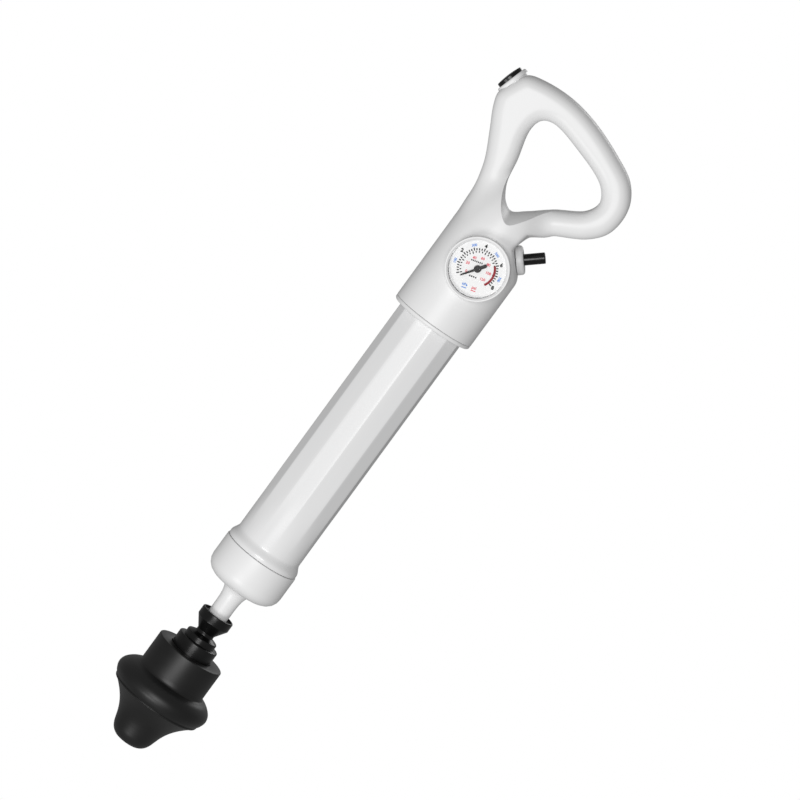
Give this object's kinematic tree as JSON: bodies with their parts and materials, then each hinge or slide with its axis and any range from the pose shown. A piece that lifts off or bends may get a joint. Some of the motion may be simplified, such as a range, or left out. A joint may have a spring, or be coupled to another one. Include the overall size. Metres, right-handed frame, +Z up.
{
  "type": "hand air pump",
  "caption": "Hand-held air pump for clearing drains: faceted barrel, sliding sleeve with a loop handle, pressure gauge, thumb button, relief plunger and rubber drain head.",
  "frame": {"origin": "centre of the rubber head's tip, on the barrel's axis, where the head meets the drain", "axes": "+Z up the barrel's axis towards the hand loop, +X towards the loop's nose, the gauge faces -Y"},
  "size_m": [0.1256, 0.0762, 0.5559],
  "materials": {
    "white_plastic": "satin moulded",
    "barrel_plastic": "milky glossy",
    "black_plastic": "glossy",
    "black_rubber": "matt",
    "seal_rubber": "matt",
    "brass": "machined",
    "screw_steel": "zinc plated",
    "aluminium": "machined",
    "dial_face": "printed card",
    "needle_black": "satin",
    "lens": "clear"
  },
  "bodies": {
    "barrel": {"rubber_head": "black_rubber", "outlet_adapter": "black_plastic", "spout_seal": "seal_rubber", "spout": "white_plastic", "spout_nut": "brass", "end_cap": "white_plastic", "cap_gasket": "seal_rubber", "barrel_tube": "barrel_plastic", "gland_bush": "white_plastic", "gland_seal": "seal_rubber", "bump_washer": "seal_rubber"},
    "handle": {"handle_front_shell": "white_plastic", "handle_rear_shell": "white_plastic", "sleeve_mouth_ring": "white_plastic", "body_screw_1": "screw_steel", "body_screw_2": "screw_steel", "body_screw_3": "screw_steel", "body_screw_4": "screw_steel", "body_screw_5": "screw_steel", "piston": "aluminium", "piston_seal": "seal_rubber", "check_flap": "seal_rubber", "tank_tube": "aluminium", "valve_block": "aluminium", "tank_seal": "seal_rubber", "dump_spring": "screw_steel", "gauge_case": "screw_steel", "gauge_stem": "brass", "bourdon_tube": "brass", "gauge_dial": "dial_face", "gauge_bezel": "white_plastic", "gauge_lens": "lens", "thumb_collar": "white_plastic", "pilot_valve": "brass", "thumb_spring": "screw_steel", "pilot_tube": "barrel_plastic", "relief_collar": "white_plastic", "relief_seat": "brass", "relief_spring": "screw_steel"},
    "dump_valve": {"dump_poppet": "seal_rubber", "release_rod": "screw_steel"},
    "gauge_needle": {"gauge_needle": "needle_black"},
    "thumb_button": {"thumb_button": "black_plastic"},
    "relief_stem": {"relief_stem": "black_plastic"}
  },
  "joints": [
    {"name": "handle_stroke", "type": "slide", "parent": "barrel", "child": "handle", "axis": [0, 0, 1], "range_m": [0, 0.19]},
    {"name": "thumb_press", "type": "slide", "parent": "handle", "child": "thumb_button", "axis": [0.9591, 0, -0.283], "range_m": [0, 0.004], "stiffness_N_per_m": 600, "deforming": ["thumb_spring"]},
    {"name": "dump_lift", "type": "slide", "parent": "handle", "child": "dump_valve", "axis": [0, 0, 1], "range_m": [0, 0.005], "stiffness_N_per_m": 400, "deforming": ["dump_spring"]},
    {"name": "relief_press", "type": "slide", "parent": "handle", "child": "relief_stem", "axis": [-0.7507, 0, -0.6606], "range_m": [0, 0.004], "stiffness_N_per_m": 800, "deforming": ["relief_spring"]},
    {"name": "needle_turn", "type": "hinge", "parent": "handle", "child": "gauge_needle", "pos_m": [0.0037, -0.035, 0.4229], "axis": [0, 1, 0], "range_deg": [0, 240], "stiffness_Nm_per_rad": 0.0002}
  ],
  "couplings": [
    {"joint": "dump_lift", "follows": "thumb_press", "ratio": 1.25}
  ]
}
